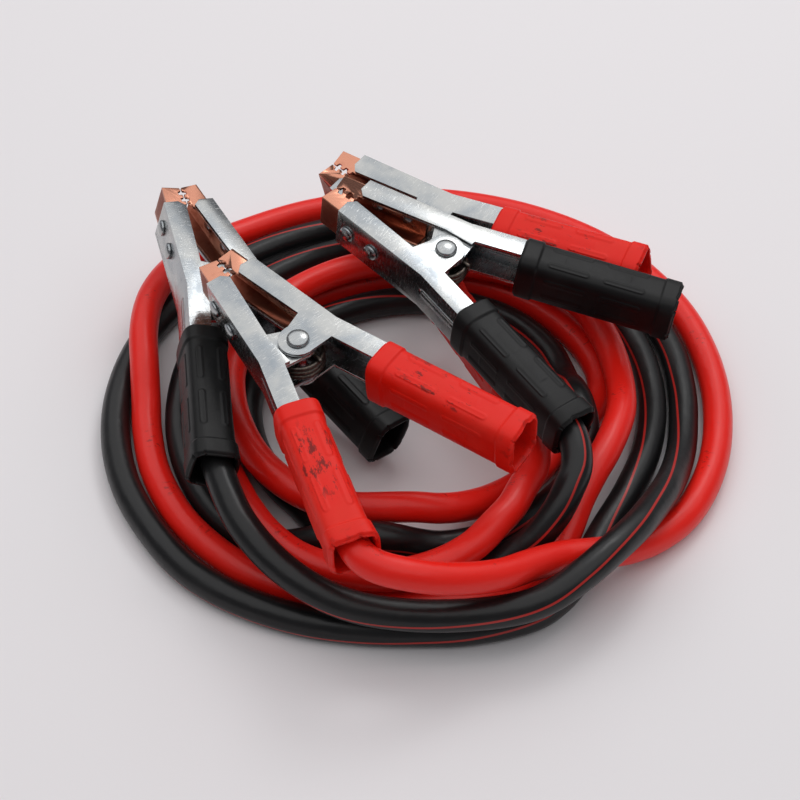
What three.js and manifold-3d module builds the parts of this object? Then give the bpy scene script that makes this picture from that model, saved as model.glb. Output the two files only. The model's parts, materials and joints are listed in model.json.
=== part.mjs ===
// Car jumper cable set: a red and a black cable coiled together on the floor, with a spring
// clamp on each of the four ends. Millimetres, +Z up, floor at z = 0.
import * as THREE from 'three';
import { mergeVertices } from 'three/addons/utils/BufferGeometryUtils.js';
import Module from 'manifold-3d';

const wasm = await Module();
wasm.setup();

// Sheet steel levers. A clamp's own frame has the pivot axis along Z, the jaws towards +X
// and the lever being drawn on the +Y side; the other lever is the same shape turned over.
const GAP = 0.3;                  // clearance between pieces that touch
const STEEL = 1.5;                // sheet thickness of a lever
const LEVER_HALF_WIDTH = 10;      // half the width over a lever's side walls
const NOSE_X = 50;                // front end of the steel
const NOSE_Y = 12.2;              // height of the back of the lever at the nose
const BEND_Y = 19.7;              // height of the back where the handle begins, over the pivot
const HANDLE_ANGLE = THREE.MathUtils.degToRad(18);
const HANDLE_LENGTH = 82;
const HANDLE_DEPTH = 9.7;         // height of the handle's side walls
const JAW_EDGE_X = 47;            // front end of the side walls' straight edge
const JAW_EDGE_Y = 2.2;
const NOTCH_X = 14.7;             // where the side wall turns down into the ear
const NOTCH_Y = 8;
const EAR_RADIUS = 8.5;
const EAR_JOGGLE_Y = 9.4;         // above this the inner ears reach out to the side walls
const SHANK_RADIUS = 3;           // pivot rivet
const PIVOT_HEAD_RADIUS = 4.8;
const PIVOT_HEAD_HEIGHT = 2.2;

// Copper jaws inside the noses.
const COPPER = 1.2;
const COPPER_TIP_X = 60;
const COPPER_FRONT_X = 61.4;
const COPPER_REAR_X = 19;
const COPPER_EDGE_INSET = 0.6;    // the copper side walls stop this far short of the steel ones
const TOOTH_COUNT = 3;
const TOOTH_DEPTH = 1.7;
const TOOTH_CREST_Y = 0.45;       // half the gap left between the closed jaws
const JAW_RIVET_X = [43.5, 29];
const JAW_RIVET_RADIUS = 2;
const JAW_HEAD_RADIUS = 3.7;
const JAW_HEAD_HEIGHT = 1.8;
const JAW_TAIL_RADIUS = 2.9;
const JAW_TAIL_HEIGHT = 1.3;

// Torsion spring.
const WIRE_RADIUS = 1.1;
const SPRING_RADIUS = 9.7;        // to the middle of the wire
const SPRING_PITCH = 2.5;
const SPRING_TURNS = 4;
const SPRING_LEG = 20;

// Cables and grips.
const CABLE_RADIUS = 6.6;
const CABLE_SIDES = 8;
const CABLE_STEPS = 140;
const GRIP_WALL = 1.6;
const GRIP_START = 26;            // from the bend, along the handle
const GRIP_LENGTH = 72;
const GRIP_CORNER = 3.5;
const GRIP_RING = 8;
const GRIP_RING_HEIGHT = 0.8;
const GRIP_RING_INSET = 0.5;      // from the ends of the grip
const MOUTH_START = 74;           // a cable's grip widens from here to its mouth
const MOUTH_WIDENING = 0.5;       // on the side of the other handle
const BACK_WIDENING = 0.15;       // on the handle's back

const ZINC = { color: 0xb9c2c9, roughness: 0.3, metalness: 1 };
const COPPER_FINISH = { color: 0xc9805f, roughness: 0.35, metalness: 1 };
const SPRING_STEEL = { color: 0x4a4744, roughness: 0.4, metalness: 1 };
const RED_RUBBER = { color: 0xd2261c, roughness: 0.5, metalness: 0 };
const BLACK_RUBBER = { color: 0x1b1b1c, roughness: 0.6, metalness: 0 };
const RED_PVC = { color: 0xd81f14, roughness: 0.35, metalness: 0 };
const BLACK_PVC = { color: 0x1c1d20, roughness: 0.35, metalness: 0 };

// A closed three.js geometry as a manifold solid.
function solid(geometry) {
  const bare = geometry.clone();
  bare.deleteAttribute('normal');
  bare.deleteAttribute('uv');
  const merged = mergeVertices(bare, 1e-4);
  return new wasm.Manifold(new wasm.Mesh({
    numProp: 3,
    vertProperties: new Float32Array(merged.attributes.position.array),
    triVerts: new Uint32Array(merged.index.array),
  }));
}

// A manifold solid as a three.js geometry.
function geometryOf(body) {
  const mesh = body.getMesh();
  const geometry = new THREE.BufferGeometry();
  geometry.setAttribute('position', new THREE.BufferAttribute(new Float32Array(mesh.vertProperties), 3));
  geometry.setIndex(new THREE.BufferAttribute(new Uint32Array(mesh.triVerts), 1));
  geometry.computeVertexNormals();
  return geometry;
}

function union(solids) {
  return solids.reduce((whole, next) => whole.add(next));
}

function shapeOf(points) {
  return new THREE.Shape(points.map(([x, y]) => new THREE.Vector2(x, y)));
}

// A flat plate with the outline in X and Y, between two heights along Z.
function plate(outline, zLow, zHigh) {
  const geometry = new THREE.ExtrudeGeometry(shapeOf(outline), { depth: zHigh - zLow, bevelEnabled: false });
  return solid(geometry.translate(0, 0, zLow));
}

// A cylinder along Z, or along Y for a rivet hole.
function rod(radius, zLow, zHigh, sides = 20) {
  const geometry = new THREE.CylinderGeometry(radius, radius, zHigh - zLow, sides);
  return solid(geometry.rotateX(Math.PI / 2).translate(0, 0, (zHigh + zLow) / 2));
}

const handleAlong = new THREE.Vector2(-Math.cos(HANDLE_ANGLE), Math.sin(HANDLE_ANGLE));
const handleInward = new THREE.Vector2(-Math.sin(HANDLE_ANGLE), -Math.cos(HANDLE_ANGLE));

// A point of the handle: its distance from the bend, and its depth below the handle's back.
function onHandle(along, depth) {
  return [
    handleAlong.x * along + handleInward.x * depth,
    BEND_Y + handleAlong.y * along + handleInward.y * depth,
  ];
}

// Height of the back of the nose, less a depth, at some x.
const noseSlope = (NOSE_Y - BEND_Y) / NOSE_X;
function onNose(x, depth) {
  return [x, BEND_Y + noseSlope * x - depth * Math.hypot(1, noseSlope)];
}

const handleInnerStart = onHandle(4.5, HANDLE_DEPTH);

function sideWall() {
  return [
    onNose(NOSE_X, 0),
    [0, BEND_Y],
    onHandle(HANDLE_LENGTH, 0),
    onHandle(HANDLE_LENGTH, HANDLE_DEPTH),
    handleInnerStart,
    [NOTCH_X, NOTCH_Y],
    [JAW_EDGE_X, JAW_EDGE_Y],
    [NOSE_X, JAW_EDGE_Y + 3],
  ];
}

function leverBack() {
  return [
    onNose(NOSE_X, 0),
    [0, BEND_Y],
    onHandle(HANDLE_LENGTH, 0),
    onHandle(HANDLE_LENGTH, STEEL),
    [0, BEND_Y - STEEL * 1.02],
    onNose(NOSE_X, STEEL),
  ];
}

// The ears reach from the side walls down to the pivot.
function earOutline(top) {
  return [
    [NOTCH_X - 1, top],
    [handleInnerStart[0], top],
    [-EAR_RADIUS * 0.98, 0.5],
    [EAR_RADIUS * 0.98, 0.5],
  ];
}

// One lever. The outer lever's ears lie in line with its side walls, the inner lever's are
// set in by a sheet thickness, so that they fit between them.
function lever(earsInside) {
  const outside = LEVER_HALF_WIDTH;
  const inside = LEVER_HALF_WIDTH - STEEL;
  const earOutside = earsInside ? inside - GAP : outside;
  const earInside = earOutside - STEEL;
  const earTop = handleInnerStart[1] + 0.5;
  const pieces = [plate(leverBack(), -outside, outside)];
  for (const side of [-1, 1]) {
    const span = (low, high) => (side > 0 ? [low, high] : [-high, -low]);
    pieces.push(plate(sideWall(), ...span(inside, outside)));
    pieces.push(plate(earOutline(earTop), ...span(earInside, earOutside)));
    pieces.push(rod(EAR_RADIUS, ...span(earInside, earOutside), 20));
    if (earsInside) {
      const joggle = [
        [NOTCH_X - 1.2, EAR_JOGGLE_Y],
        [NOTCH_X - 1.2, earTop],
        [handleInnerStart[0], earTop],
        [handleInnerStart[0], EAR_JOGGLE_Y],
      ];
      pieces.push(plate(joggle, ...span(earInside, outside)));
    }
  }
  let body = union(pieces).subtract(rod(SHANK_RADIUS + GAP, -outside - 1, outside + 1));
  for (const x of JAW_RIVET_X) {
    body = body.subtract(alongNoseDepth(rod(JAW_RIVET_RADIUS + GAP, -STEEL - 1, 1, 10), x));
  }
  return geometryOf(body);
}

// Puts a solid drawn about Z on the back of the nose, with +Z out of the lever.
function alongNoseDepth(body, x) {
  const [px, py] = onNose(x, 0);
  const frame = new THREE.Matrix4().makeRotationZ(Math.atan(noseSlope));
  frame.multiply(new THREE.Matrix4().makeRotationX(-Math.PI / 2));
  frame.setPosition(px, py, 0);
  return body.transform(frame.elements);
}

// The copper jaw: a channel inside the nose, with teeth on the ends of its side walls.
function copperJaw() {
  const depth = STEEL + GAP;
  const halfWidth = LEVER_HALF_WIDTH - STEEL - GAP;
  const edgeAt = (x) => {
    const slope = (JAW_EDGE_Y - NOTCH_Y) / (JAW_EDGE_X - NOTCH_X);
    return [x, NOTCH_Y + slope * (x - NOTCH_X) + COPPER_EDGE_INSET];
  };
  const pitch = (COPPER_TIP_X - JAW_EDGE_X) / TOOTH_COUNT;
  const teeth = [];
  for (let i = 0; i < TOOTH_COUNT; i += 1) {
    const front = COPPER_TIP_X - i * pitch;
    teeth.push([front, TOOTH_CREST_Y], [front - pitch * 0.45, TOOTH_CREST_Y]);
    teeth.push([front - pitch * 0.55, TOOTH_CREST_Y + TOOTH_DEPTH], [front - pitch, TOOTH_CREST_Y + TOOTH_DEPTH]);
  }
  const outline = [
    onNose(COPPER_REAR_X, depth),
    edgeAt(COPPER_REAR_X),
    edgeAt(JAW_EDGE_X - 0.5),
    ...teeth.reverse(),
    onNose(COPPER_FRONT_X, depth),
  ];
  const back = [
    onNose(COPPER_REAR_X, depth),
    onNose(COPPER_REAR_X, depth + COPPER),
    onNose(COPPER_FRONT_X - 0.2, depth + COPPER),
    onNose(COPPER_FRONT_X, depth),
  ];
  let body = union([
    plate(back, -halfWidth, halfWidth),
    plate(outline, halfWidth - COPPER, halfWidth),
    plate(outline, -halfWidth, -halfWidth + COPPER),
  ]);
  for (const x of JAW_RIVET_X) {
    body = body.subtract(alongNoseDepth(rod(JAW_RIVET_RADIUS + GAP, -depth - COPPER - 1, 1, 10), x));
  }
  return geometryOf(body);
}

// A rivet turned about Z: a domed head above z = 0 and a low head under the stack it holds.
function turned(profile, sides) {
  const points = profile.map(([r, z]) => new THREE.Vector2(r, z));
  return new THREE.LatheGeometry(points, sides).rotateX(Math.PI / 2);
}

function jawRivet(x) {
  const stack = STEEL + GAP + COPPER;
  const profile = [
    [0, -stack - GAP - JAW_TAIL_HEIGHT],
    [JAW_TAIL_RADIUS * 0.8, -stack - GAP - JAW_TAIL_HEIGHT],
    [JAW_TAIL_RADIUS, -stack - GAP],
    [JAW_RIVET_RADIUS, -stack - GAP],
    [JAW_RIVET_RADIUS, GAP],
    [JAW_HEAD_RADIUS, GAP],
    [JAW_HEAD_RADIUS * 0.75, GAP + JAW_HEAD_HEIGHT * 0.75],
    [0, GAP + JAW_HEAD_HEIGHT],
  ];
  return geometryOf(alongNoseDepth(solid(turned(profile, 8)), x));
}

function pivotRivet() {
  const end = LEVER_HALF_WIDTH + GAP;
  const half = [
    [SHANK_RADIUS, end],
    [PIVOT_HEAD_RADIUS, end],
    [PIVOT_HEAD_RADIUS * 0.8, end + PIVOT_HEAD_HEIGHT * 0.7],
    [0, end + PIVOT_HEAD_HEIGHT],
  ];
  const lower = half.map(([r, z]) => [r, -z]).reverse();
  return turned([...lower, ...half], 12);
}

// The spring: a close coil with one leg along the inside of the fixed lever's handle and the
// other ending short, so that the moving handle can be squeezed past it.
function spring() {
  const points = [];
  const low = -SPRING_PITCH * SPRING_TURNS / 2;
  const legLow = onHandle(GRIP_START - 2, STEEL + GAP + WIRE_RADIUS);
  points.push(new THREE.Vector3(legLow[0], legLow[1], low));
  const stepsPerTurn = 10;
  const start = THREE.MathUtils.degToRad(112);
  const count = Math.round(stepsPerTurn * (SPRING_TURNS - 0.62));
  for (let i = 0; i <= count; i += 1) {
    const turn = i / stepsPerTurn;
    const angle = start - turn * 2 * Math.PI;
    points.push(new THREE.Vector3(
      SPRING_RADIUS * Math.cos(angle), SPRING_RADIUS * Math.sin(angle), low + turn * SPRING_PITCH,
    ));
  }
  const last = points[points.length - 1];
  points.push(new THREE.Vector3(last.x - SPRING_LEG * 0.5, last.y + 0.4, last.z));
  points.push(new THREE.Vector3(last.x - SPRING_LEG, last.y + 0.8, last.z));
  return tube(points, WIRE_RADIUS, 5, points.length);
}

function tube(points, radius, sides, steps) {
  const section = new THREE.Shape();
  for (let i = 0; i < sides; i += 1) {
    const angle = (i + 0.5) * 2 * Math.PI / sides;
    const method = i === 0 ? 'moveTo' : 'lineTo';
    section[method](radius * Math.cos(angle), radius * Math.sin(angle));
  }
  const path = new THREE.CatmullRomCurve3(points, false, 'centripetal');
  return new THREE.ExtrudeGeometry(section, { steps, extrudePath: path, bevelEnabled: false });
}

// A rounded rectangle across the handle: depth along X, width along Y.
function roundedRectangle(low, high, halfWidth, corner) {
  const path = new THREE.Shape();
  path.moveTo(low + corner, -halfWidth);
  path.lineTo(high - corner, -halfWidth);
  path.absarc(high - corner, -halfWidth + corner, corner, -Math.PI / 2, 0);
  path.lineTo(high, halfWidth - corner);
  path.absarc(high - corner, halfWidth - corner, corner, 0, Math.PI / 2);
  path.lineTo(low + corner, halfWidth);
  path.absarc(low + corner, halfWidth - corner, corner, Math.PI / 2, Math.PI);
  path.lineTo(low, -halfWidth + corner);
  path.absarc(low + corner, -halfWidth + corner, corner, Math.PI, 1.5 * Math.PI);
  return path;
}

const gripInnerHalfWidth = LEVER_HALF_WIDTH + GAP;
const gripInnerDepth = STEEL + 2 * CABLE_RADIUS + 2 * GAP;
const cableDepth = STEEL + GAP + CABLE_RADIUS;

// Puts a solid drawn with depth along X, width along Y and length along Z on the handle.
const handleFrame = new THREE.Matrix4().makeBasis(
  new THREE.Vector3(handleInward.x, handleInward.y, 0),
  new THREE.Vector3(0, 0, 1),
  new THREE.Vector3(handleAlong.x, handleAlong.y, 0),
).setPosition(0, BEND_Y, 0);

// Widens the last part of a grip away from the cable's axis, more and more towards the mouth.
function widened(geometry) {
  const place = geometry.attributes.position;
  for (let i = 0; i < place.count; i += 1) {
    const reach = Math.max(0, place.getZ(i) - MOUTH_START) / (GRIP_START + GRIP_LENGTH - MOUTH_START);
    const depth = place.getX(i) - cableDepth;
    const widening = depth > 0 ? MOUTH_WIDENING : BACK_WIDENING;
    place.setX(i, cableDepth + depth * (1 + widening * reach * reach));
  }
  return geometry;
}

// A soft grip: a rounded sleeve over the handle with a raised ring at each end.
function grip(hasCable) {
  const inner = shapeOf([
    [-GAP, -gripInnerHalfWidth],
    [gripInnerDepth, -gripInnerHalfWidth],
    [gripInnerDepth, gripInnerHalfWidth],
    [-GAP, gripInnerHalfWidth],
  ]);
  const extruded = (shape, from, length, steps) => {
    const settings = { depth: length, steps: hasCable ? steps : 1, bevelEnabled: false, curveSegments: 3 };
    const geometry = new THREE.ExtrudeGeometry(shape, settings).translate(0, 0, from);
    return solid(hasCable ? widened(geometry) : geometry);
  };
  const outer = (proud) => roundedRectangle(
    -GAP - GRIP_WALL - proud, gripInnerDepth + GRIP_WALL + proud,
    gripInnerHalfWidth + GRIP_WALL + proud, GRIP_CORNER,
  );
  const lastRing = GRIP_START + GRIP_LENGTH - GRIP_RING - GRIP_RING_INSET;
  const sleeve = union([
    extruded(outer(0), GRIP_START, GRIP_LENGTH, 9),
    extruded(outer(GRIP_RING_HEIGHT), GRIP_START + GRIP_RING_INSET, GRIP_RING, 1),
    extruded(outer(GRIP_RING_HEIGHT), lastRing, GRIP_RING, 2),
  ]);
  const body = sleeve.subtract(extruded(inner, GRIP_START - 1, GRIP_LENGTH + 2, 10));
  return geometryOf(body.transform(handleFrame.elements));
}

function mesh(name, geometry, finish) {
  const item = new THREE.Mesh(geometry, new THREE.MeshStandardMaterial(finish));
  item.name = name;
  return item;
}

// Where the four clamps lie: pivot place, then turns about X, Y and Z in degrees, applied in
// that order. The lever on the inner side has its ears inside the other's.
const CLAMPS = {
  black_rear: { at: [-79.8, 268.6, 45], turn: [14.5, -9.2, 114.3], innerSide: -1, rubber: BLACK_RUBBER },
  red_front: { at: [-41.8, 204, 68.5], turn: [-5.2, -3.7, 127.4], innerSide: 1, rubber: RED_RUBBER },
  black_front: { at: [19.4, 268.7, 62.5], turn: [-3.1, -8.5, 145.3], innerSide: -1, rubber: BLACK_RUBBER },
  red_rear: { at: [12.6, 314, 41.5], turn: [-15.4, -2.4, 136.3], innerSide: 1, rubber: RED_RUBBER },
};

function clampFrame({ at, turn }) {
  const [tx, ty, tz] = turn.map(THREE.MathUtils.degToRad);
  const frame = new THREE.Matrix4().makeRotationFromEuler(new THREE.Euler(tx, ty, tz, 'ZYX'));
  return frame.setPosition(...at);
}

function clamp(name, pose) {
  const group = new THREE.Group();
  for (const [word, side] of [['cable', 1], ['free', -1]]) {
    const half = new THREE.Group();
    half.rotation.x = side > 0 ? 0 : Math.PI;
    half.add(mesh(`${name}_${word}_lever`, lever(side === pose.innerSide), ZINC));
    half.add(mesh(`${name}_${word}_jaw`, copperJaw(), COPPER_FINISH));
    JAW_RIVET_X.forEach((x, i) => {
      half.add(mesh(`${name}_${word}_jaw_rivet_${i + 1}`, jawRivet(x), ZINC));
    });
    half.add(mesh(`${name}_${word}_grip`, grip(word === 'cable'), pose.rubber));
    group.add(half);
  }
  group.add(mesh(`${name}_pivot_rivet`, pivotRivet(), ZINC));
  group.add(mesh(`${name}_spring`, spring(), SPRING_STEEL));
  group.applyMatrix4(clampFrame(pose));
  return group;
}

// The cables' ways round the coil, as angle in degrees about the coil's centre, distance from
// it and height. A row stands for one point of the cable's middle.
const COIL_CENTRE = [7, 234];
const RED_COIL = [
    [263, 135, 56], [270, 135, 51], [277, 132, 44.5], [285, 127, 37], [292, 121.5, 31],
    [300, 118.5, 24.5], [307, 121, 19.5], [315, 125, 13], [323, 129, 9], [332, 132.5, 7.2],
    [345, 134.5, 7], [360, 136, 7], [375, 138.5, 7], [390, 141.5, 7], [410, 145, 7], [430, 146, 7],
    [450, 147, 7], [470, 147, 7.2], [485, 146.5, 9], [495, 145.5, 12.5], [505, 142, 17.5],
    [515, 136, 21.3], [524, 129.5, 21.3], [532, 124, 17.5], [540, 121, 11.5], [548, 120.3, 8.2],
    [560, 120.3, 7], [575, 120.2, 7], [590, 119.3, 7], [600, 117.5, 7], [610, 115.5, 7],
    [620, 114, 7], [630, 113, 7], [640, 114, 7], [652, 114, 7], [658, 110, 7], [664, 104.5, 7.5],
    [670, 99, 10], [677, 94, 15.5], [685, 91.5, 19.5], [695, 91, 21.5], [710, 91.5, 21.5],
    [725, 91, 21], [740, 92, 21], [755, 94, 21], [770, 91, 21], [790, 87, 21], [810, 85, 21],
    [830, 85, 21], [850, 84.5, 20.8], [870, 84.5, 20.8], [890, 83.5, 20.5], [905, 82, 20.5],
    [920, 81, 20.5], [935, 81, 20.5], [950, 81, 21], [962, 80, 21.3], [969, 78.5, 21.8],
    [976, 76, 22], [983, 74, 22], [990, 72.5, 21], [997, 71.5, 18.5], [1005, 69.5, 15],
    [1015, 66.5, 10.5], [1024, 65, 8], [1033, 65, 7.2], [1045, 65.5, 7], [1055, 66, 7],
    [1063, 68, 7], [1070, 72.5, 7], [1077, 78.5, 7], [1085, 84, 7], [1093, 87, 7], [1105, 88, 7],
    [1120, 88, 7], [1140, 88, 7], [1165, 87.5, 7], [1190, 87, 7], [1210, 87.5, 7], [1230, 89, 7],
    [1250, 90, 7], [1265, 90, 7], [1275, 90.3, 7.3], [1283, 91.5, 9.5], [1292, 94, 13.8],
    [1299, 97.5, 18], [1306, 102, 21], [1315, 107.5, 21.8], [1324, 111.5, 21.8], [1333, 112.5, 22],
    [1343, 111.5, 22], [1350, 108.5, 22.5], [1357, 104, 23], [1364, 98, 23.5], [1371, 90.5, 24],
    [1378, 84.5, 24], [1385, 78, 24],
];
const BLACK_COIL = [
    [233, 118, 35], [245, 125, 28], [257, 130, 24], [270, 132, 23], [285, 135, 24],
    [292, 136, 26], [300, 133.5, 29.5], [307, 130.5, 30.5], [315, 127, 28], [322, 124, 24], [330, 122, 19],
    [338, 120.5, 13], [346, 120, 9], [354, 120, 7.2], [365, 121.5, 7], [380, 125, 7], [400, 128, 7],
    [420, 130, 7], [440, 130, 7], [460, 130, 7], [480, 131, 7], [500, 132, 7], [520, 134, 7],
    [540, 134.5, 7], [560, 134.5, 7], [580, 134.5, 7], [590, 134, 7], [600, 132, 7], [610, 130, 7],
    [620, 128, 7], [630, 127, 7], [640, 128, 7], [652, 128, 7], [658, 124.5, 7], [664, 119, 7],
    [670, 113.5, 7], [678, 108, 7], [690, 105, 7], [705, 105, 7], [720, 106.5, 7], [735, 109, 7],
    [750, 112, 7], [765, 113.5, 7], [780, 114, 7], [800, 114, 7], [820, 114, 7], [840, 113, 7],
    [860, 111, 7], [880, 108, 7], [900, 106, 7], [918, 106, 7], [936, 106.5, 7], [948, 105, 7],
    [955, 101, 8.5], [962, 98.5, 15], [969, 95, 21], [976, 91.5, 21.3], [983, 88, 18],
    [990, 84.5, 11.5], [997, 83, 7.5], [1007, 83, 7], [1020, 82, 7], [1035, 81.5, 7],
    [1048, 81, 7.5], [1056, 80, 13.5], [1063, 77, 19.5], [1070, 73.5, 21.6], [1077, 70.5, 20.5],
    [1084, 69.5, 15.5], [1091, 69.5, 10], [1099, 70.5, 7.3], [1110, 72, 7], [1125, 73, 7],
    [1140, 73, 7], [1160, 72.5, 7], [1180, 72, 7], [1200, 72, 7], [1220, 73, 7], [1240, 75, 7],
    [1260, 75.5, 7], [1280, 75.5, 7], [1300, 76, 7], [1310, 77, 7], [1317, 80, 7], [1324, 86, 7],
    [1331, 92, 7], [1338, 96.5, 7], [1345, 98.5, 7], [1352, 98.5, 7], [1359, 98.5, 7],
    [1366, 99, 8.5], [1372, 101, 14], [1378, 103, 22],
];

// Points along the cable inside a grip, from deep inside to the mouth: distance along the
// handle and how far the cable has left its straight place there, towards the other handle.
const IN_GRIP = [[53, 0], [68, 0]];

const CABLES = [
  {
    name: 'red_cable',
    finish: RED_PVC,
    first: { clamp: 'red_front', mouth: [[80, 0.2], [98, 1.7]], way: [] },
    coil: RED_COIL,
    last: { clamp: 'red_rear', mouth: [[82, -0.1], [98, -1.5]], way: [[56.5, 202, 24], [58, 191, 24], [56.5, 180, 24]] },
  },
  {
    name: 'black_cable',
    finish: BLACK_PVC,
    first: { clamp: 'black_rear', mouth: [[82, 0.2], [98, 2.6]], way: [] },
    coil: BLACK_COIL,
    last: { clamp: 'black_front', mouth: [[82, -0.1], [98, -1.8]], way: [[73, 165.5, 42], [69.5, 157, 38], [64, 149, 31]] },
  },
];

// One end of a cable, from inside its grip out to the coil.
function cableEnd({ clamp: name, mouth, way }) {
  const frame = clampFrame(CLAMPS[name]);
  const inside = [...IN_GRIP, ...mouth].map(([along, aside]) => {
    const [x, y] = onHandle(along, cableDepth + aside);
    return new THREE.Vector3(x, y, 0).applyMatrix4(frame);
  });
  return [...inside, ...way.map((place) => new THREE.Vector3(...place))];
}

function cable({ name, finish, first, coil, last }) {
  const around = coil.map(([angle, radius, height]) => {
    const turn = THREE.MathUtils.degToRad(angle);
    return new THREE.Vector3(
      COIL_CENTRE[0] + radius * Math.cos(turn), COIL_CENTRE[1] + radius * Math.sin(turn), height,
    );
  });
  const points = [...cableEnd(first), ...around, ...cableEnd(last).reverse()];
  return mesh(name, tube(points, CABLE_RADIUS, CABLE_SIDES, CABLE_STEPS), finish);
}

// The origin of the set, under the middle of it on the floor.
const SET_ORIGIN = [7.8, 240.2, 0.3];

const set = new THREE.Group();
for (const [name, pose] of Object.entries(CLAMPS)) {
  set.add(clamp(name, pose));
}
for (const one of CABLES) {
  set.add(cable(one));
}
set.position.set(...SET_ORIGIN).negate();

export default set;
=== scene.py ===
"""Looks and finer shapes of a coiled set of car jumper cables, on the frame of its CAD model."""

from __future__ import annotations

import itertools
import json
import logging
import math
from dataclasses import dataclass, field
from enum import Enum
from typing import Any, Callable, Optional, Sequence, Union

import bmesh
import bpy
import numpy as np
from mathutils import Euler, Matrix, Vector

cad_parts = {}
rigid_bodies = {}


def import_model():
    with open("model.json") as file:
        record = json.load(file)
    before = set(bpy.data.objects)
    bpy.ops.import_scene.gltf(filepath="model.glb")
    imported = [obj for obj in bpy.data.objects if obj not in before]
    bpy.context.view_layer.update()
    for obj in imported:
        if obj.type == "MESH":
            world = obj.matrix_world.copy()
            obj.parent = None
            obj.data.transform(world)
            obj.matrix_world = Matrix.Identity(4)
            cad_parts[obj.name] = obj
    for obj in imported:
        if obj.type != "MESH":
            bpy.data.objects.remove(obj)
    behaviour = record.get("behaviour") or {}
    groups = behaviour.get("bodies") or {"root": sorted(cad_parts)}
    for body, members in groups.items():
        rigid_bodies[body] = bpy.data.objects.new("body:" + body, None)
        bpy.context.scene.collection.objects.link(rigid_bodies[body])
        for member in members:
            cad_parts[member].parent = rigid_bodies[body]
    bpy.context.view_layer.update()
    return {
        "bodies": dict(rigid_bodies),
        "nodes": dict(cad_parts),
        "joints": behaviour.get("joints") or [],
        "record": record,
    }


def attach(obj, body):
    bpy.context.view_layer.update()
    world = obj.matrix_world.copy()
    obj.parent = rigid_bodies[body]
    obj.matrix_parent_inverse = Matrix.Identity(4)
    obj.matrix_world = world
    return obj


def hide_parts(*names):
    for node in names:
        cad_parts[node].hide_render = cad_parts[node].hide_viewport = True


logging.basicConfig(level=logging.INFO, format="%(message)s")
log = logging.getLogger("jumper_cables")

MM = 0.001
ROOT_BODY = "cables_and_fixed_sides"

# The model's origin and the coil's middle, in the millimetres that the places below use.
SET_ORIGIN = np.array([7.8, 240.2, 0.3])
COIL_CENTRE = np.array([7.0, 234.0])

STEEL = 1.5
GAP = 0.3
COPPER = 1.2
CABLE_RADIUS = 6.6
CABLE_DEPTH = STEEL + GAP + CABLE_RADIUS
HANDLE_ANGLE = math.radians(18)
BEND_Y = 19.7
NOSE_X = 50.0
NOSE_Y = 12.2
LEVER_HALF_WIDTH = 10.0
GRIP_START = 26.0
GRIP_END = 98.0
GRIP_WALL = 1.6
MOUTH_START = 74.0
JAW_RIVET_X = (43.5, 29.0)
IN_GRIP = ((53.0, 0.0), (68.0, 0.0))
COIL_STEPS = 12
UP = np.array([0.0, 0.0, 1.0])

HANDLE_ALONG = np.array([-math.cos(HANDLE_ANGLE), math.sin(HANDLE_ANGLE), 0.0])
HANDLE_INWARD = np.array([-math.sin(HANDLE_ANGLE), -math.cos(HANDLE_ANGLE), 0.0])

RED_COIL = (
    (263, 135, 56), (270, 135, 51), (277, 132, 44.5), (285, 127, 37), (292, 121.5, 31),
    (300, 118.5, 24.5), (307, 121, 19.5), (315, 125, 13), (323, 129, 9), (332, 132.5, 7.2),
    (345, 134.5, 7), (360, 136, 7), (375, 138.5, 7), (390, 141.5, 7), (410, 145, 7), (430, 146, 7),
    (450, 147, 7), (470, 147, 7.2), (485, 146.5, 9), (495, 145.5, 12.5), (505, 142, 17.5),
    (515, 136, 21.3), (524, 129.5, 21.3), (532, 124, 17.5), (540, 121, 11.5), (548, 120.3, 8.2),
    (560, 120.3, 7), (575, 120.2, 7), (590, 119.3, 7), (600, 117.5, 7), (610, 115.5, 7),
    (620, 114, 7), (630, 113, 7), (640, 114, 7), (652, 114, 7), (658, 110, 7), (664, 104.5, 7.5),
    (670, 99, 10), (677, 94, 15.5), (685, 91.5, 19.5), (695, 91, 21.5), (710, 91.5, 21.5),
    (725, 91, 21), (740, 92, 21), (755, 94, 21), (770, 91, 21), (790, 87, 21), (810, 85, 21),
    (830, 85, 21), (850, 84.5, 20.8), (870, 84.5, 20.8), (890, 83.5, 20.5), (905, 82, 20.5),
    (920, 81, 20.5), (935, 81, 20.5), (950, 81, 21), (962, 80, 21.3), (969, 78.5, 21.8),
    (976, 76, 22), (983, 74, 22), (990, 72.5, 21), (997, 71.5, 18.5), (1005, 69.5, 15),
    (1015, 66.5, 10.5), (1024, 65, 8), (1033, 65, 7.2), (1045, 65.5, 7), (1055, 66, 7),
    (1063, 68, 7), (1070, 72.5, 7), (1077, 78.5, 7), (1085, 84, 7), (1093, 87, 7), (1105, 88, 7),
    (1120, 88, 7), (1140, 88, 7), (1165, 87.5, 7), (1190, 87, 7), (1210, 87.5, 7), (1230, 89, 7),
    (1250, 90, 7), (1265, 90, 7), (1275, 90.3, 7.3), (1283, 91.5, 9.5), (1292, 94, 13.8),
    (1299, 97.5, 18), (1306, 102, 21), (1315, 107.5, 21.8), (1324, 111.5, 21.8), (1333, 112.5, 22),
    (1343, 111.5, 22), (1350, 108.5, 22.5), (1357, 104, 23), (1364, 98, 23.5), (1371, 90.5, 24),
    (1378, 84.5, 24), (1385, 78, 24),
)
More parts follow.
